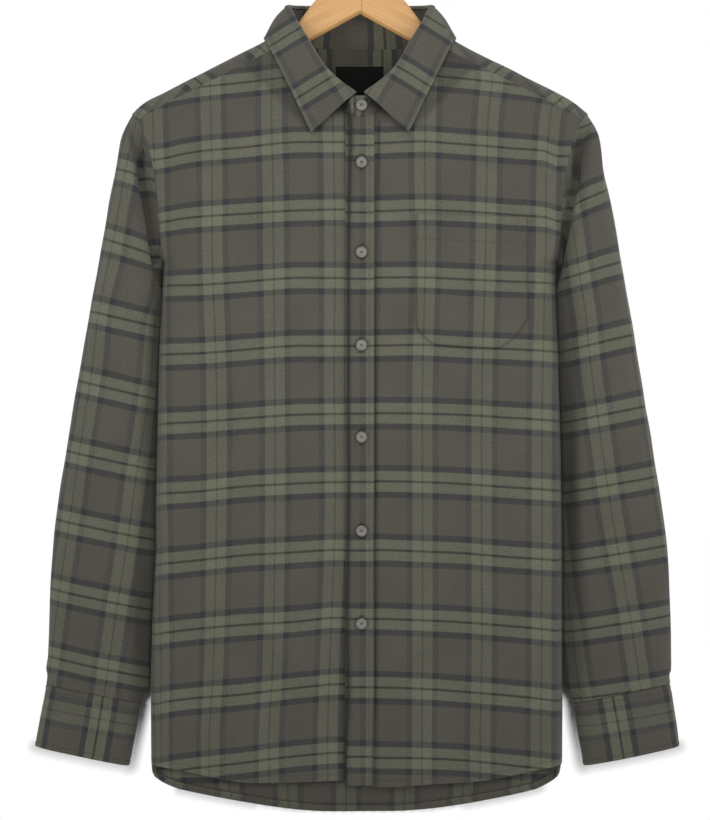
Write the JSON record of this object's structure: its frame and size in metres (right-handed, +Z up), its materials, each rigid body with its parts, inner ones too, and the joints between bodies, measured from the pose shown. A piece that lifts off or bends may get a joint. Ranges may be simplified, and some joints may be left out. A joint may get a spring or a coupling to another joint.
{
  "type": "flannel shirt on a wooden hanger",
  "caption": "Long-sleeved plaid flannel shirt with a collar, buttoned up, hanging on a contoured wooden hanger with a steel hook.",
  "frame": {"origin": "the point inside the top of the hook that bears on a rail", "axes": "+Z up, along the hook's shank; the shirt's front faces -Y; +X points to the shirt's own left sleeve"},
  "size_m": [0.663, 0.102, 0.929],
  "materials": {
    "flannel": "brushed twill plaid in brown-grey, sage green and navy",
    "label": "bare black woven satin",
    "button": "semi-gloss grey resin",
    "beech": "clear satin lacquer",
    "steel": "polished plating"
  },
  "bodies": {
    "root": {"right_front": "flannel", "left_front": "flannel", "back": "flannel", "yoke": "flannel", "front_placket": "flannel", "pocket": "flannel", "right_sleeve": "flannel", "left_sleeve": "flannel", "right_cuff": "flannel", "left_cuff": "flannel", "right_sleeve_placket": "flannel", "left_sleeve_placket": "flannel", "collar_stand": "flannel", "collar_leaf": "flannel", "neck_label": "label", "front_button_1": "button", "front_button_2": "button", "front_button_3": "button", "front_button_4": "button", "front_button_5": "button", "front_button_6": "button", "collar_button": "button", "right_cuff_button": "button", "left_cuff_button": "button", "hanger": "beech", "hook": "steel"}
  },
  "joints": []
}
